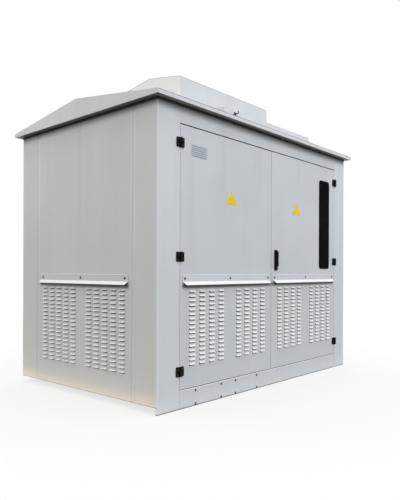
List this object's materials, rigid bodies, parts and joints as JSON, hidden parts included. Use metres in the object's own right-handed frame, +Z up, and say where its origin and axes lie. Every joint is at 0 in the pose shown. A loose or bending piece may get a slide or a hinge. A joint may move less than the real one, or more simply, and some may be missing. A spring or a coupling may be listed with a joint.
{
  "type": "transformer kiosk enclosure",
  "caption": "Sheet-steel transformer kiosk with louvred double doors, louvred walls, a low gable roof and a raised vent cowl over a roof throat.",
  "frame": {"origin": "ground level under the middle of the house", "axes": "+X to the right seen from the front, +Y from the front to the rear, +Z up"},
  "size_m": [2.612, 1.696, 2.477],
  "materials": {
    "wall_coat": "light grey powder coat, fine orange peel",
    "roof_coat": "light grey powder coat, slightly paler on the roof",
    "base_coat": "dark grey coated steel",
    "black_hardware": "satin black coated die casting"
  },
  "bodies": {
    "house": {"front_skid": "base_coat", "rear_skid": "base_coat", "cross_beams": "base_coat", "floor_plate": "base_coat", "front_left_post": "wall_coat", "front_right_post": "wall_coat", "rear_left_post": "wall_coat", "rear_right_post": "wall_coat", "front_header": "wall_coat", "rear_header": "wall_coat", "front_kick_plate": "wall_coat", "rear_kick_plate": "wall_coat", "left_front_strip": "wall_coat", "left_rear_strip": "wall_coat", "right_front_strip": "wall_coat", "right_rear_strip": "wall_coat", "left_louvre_panel": "wall_coat", "right_louvre_panel": "wall_coat", "rear_left_panel": "wall_coat", "rear_right_panel": "wall_coat", "left_side_hood": "wall_coat", "right_side_hood": "wall_coat", "rear_left_hood": "wall_coat", "rear_right_hood": "wall_coat", "roof_front_sheet": "roof_coat", "roof_rear_sheet": "roof_coat", "left_gable": "roof_coat", "right_gable": "roof_coat", "roof_saddle": "roof_coat", "cowl_curb": "base_coat", "cowl_brackets": "base_coat", "cowl_walls": "roof_coat", "cowl_lid": "roof_coat", "roof_hook": "black_hardware", "left_hinge_frame_leaves": "black_hardware", "right_hinge_frame_leaves": "black_hardware"},
    "left_door": {"left_door_leaf": "wall_coat", "left_door_hood": "wall_coat", "left_hinge_door_leaves": "black_hardware"},
    "right_door": {"right_door_leaf": "wall_coat", "right_door_hood": "wall_coat", "right_hinge_door_leaves": "black_hardware", "handle_plate": "black_hardware"},
    "handle": {"handle_lever": "black_hardware"}
  },
  "joints": [
    {"name": "left_door_swing", "type": "hinge", "parent": "house", "child": "left_door", "pos_m": [-1.0565, -0.81, 1], "axis": [0, 0, -1], "range_deg": [0, 110]},
    {"name": "right_door_swing", "type": "hinge", "parent": "house", "child": "right_door", "pos_m": [1.0565, -0.81, 1], "axis": [0, 0, 1], "range_deg": [0, 110]},
    {"name": "handle_turn", "type": "hinge", "parent": "right_door", "child": "handle", "pos_m": [0.0635, -0.81, 1.057], "axis": [0, -1, 0], "range_deg": [0, 90]}
  ]
}
